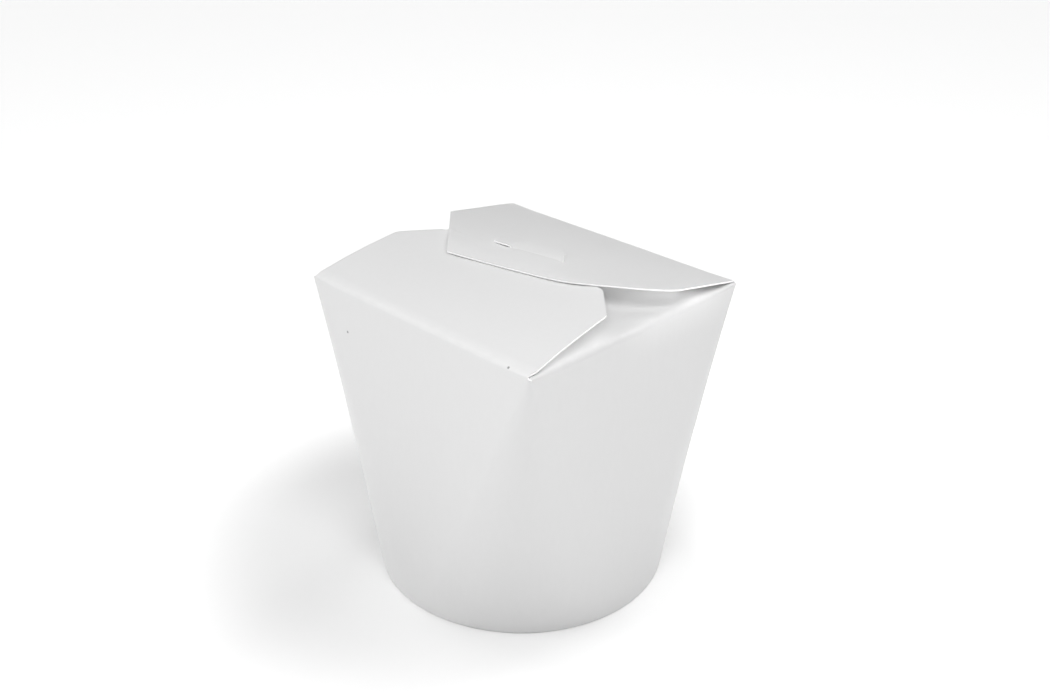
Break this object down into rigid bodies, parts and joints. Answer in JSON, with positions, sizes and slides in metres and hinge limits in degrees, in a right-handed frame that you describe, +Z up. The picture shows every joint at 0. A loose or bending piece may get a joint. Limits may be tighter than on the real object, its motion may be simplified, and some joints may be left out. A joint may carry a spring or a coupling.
{
  "type": "noodle takeaway box",
  "caption": "Plain white paperboard takeaway box for noodles, shut: round at the base and four-cornered at the mouth, with a tongue-and-slot flap closure.",
  "frame": {"origin": "centre of the round base, on the surface that the box stands on", "axes": "+Z up; -Y towards the wall that carries the tongue flap; +X and -X towards the walls that carry the dust flaps"},
  "size_m": [0.0966, 0.095, 0.1079],
  "materials": {
    "white_board": "white satin paperboard with a thin clear film, softly creased at the folds",
    "base_board": "white paperboard, a little duller than the walls"
  },
  "bodies": {
    "root": {"carton": "white_board", "base_disc": "base_board"}
  },
  "joints": []
}
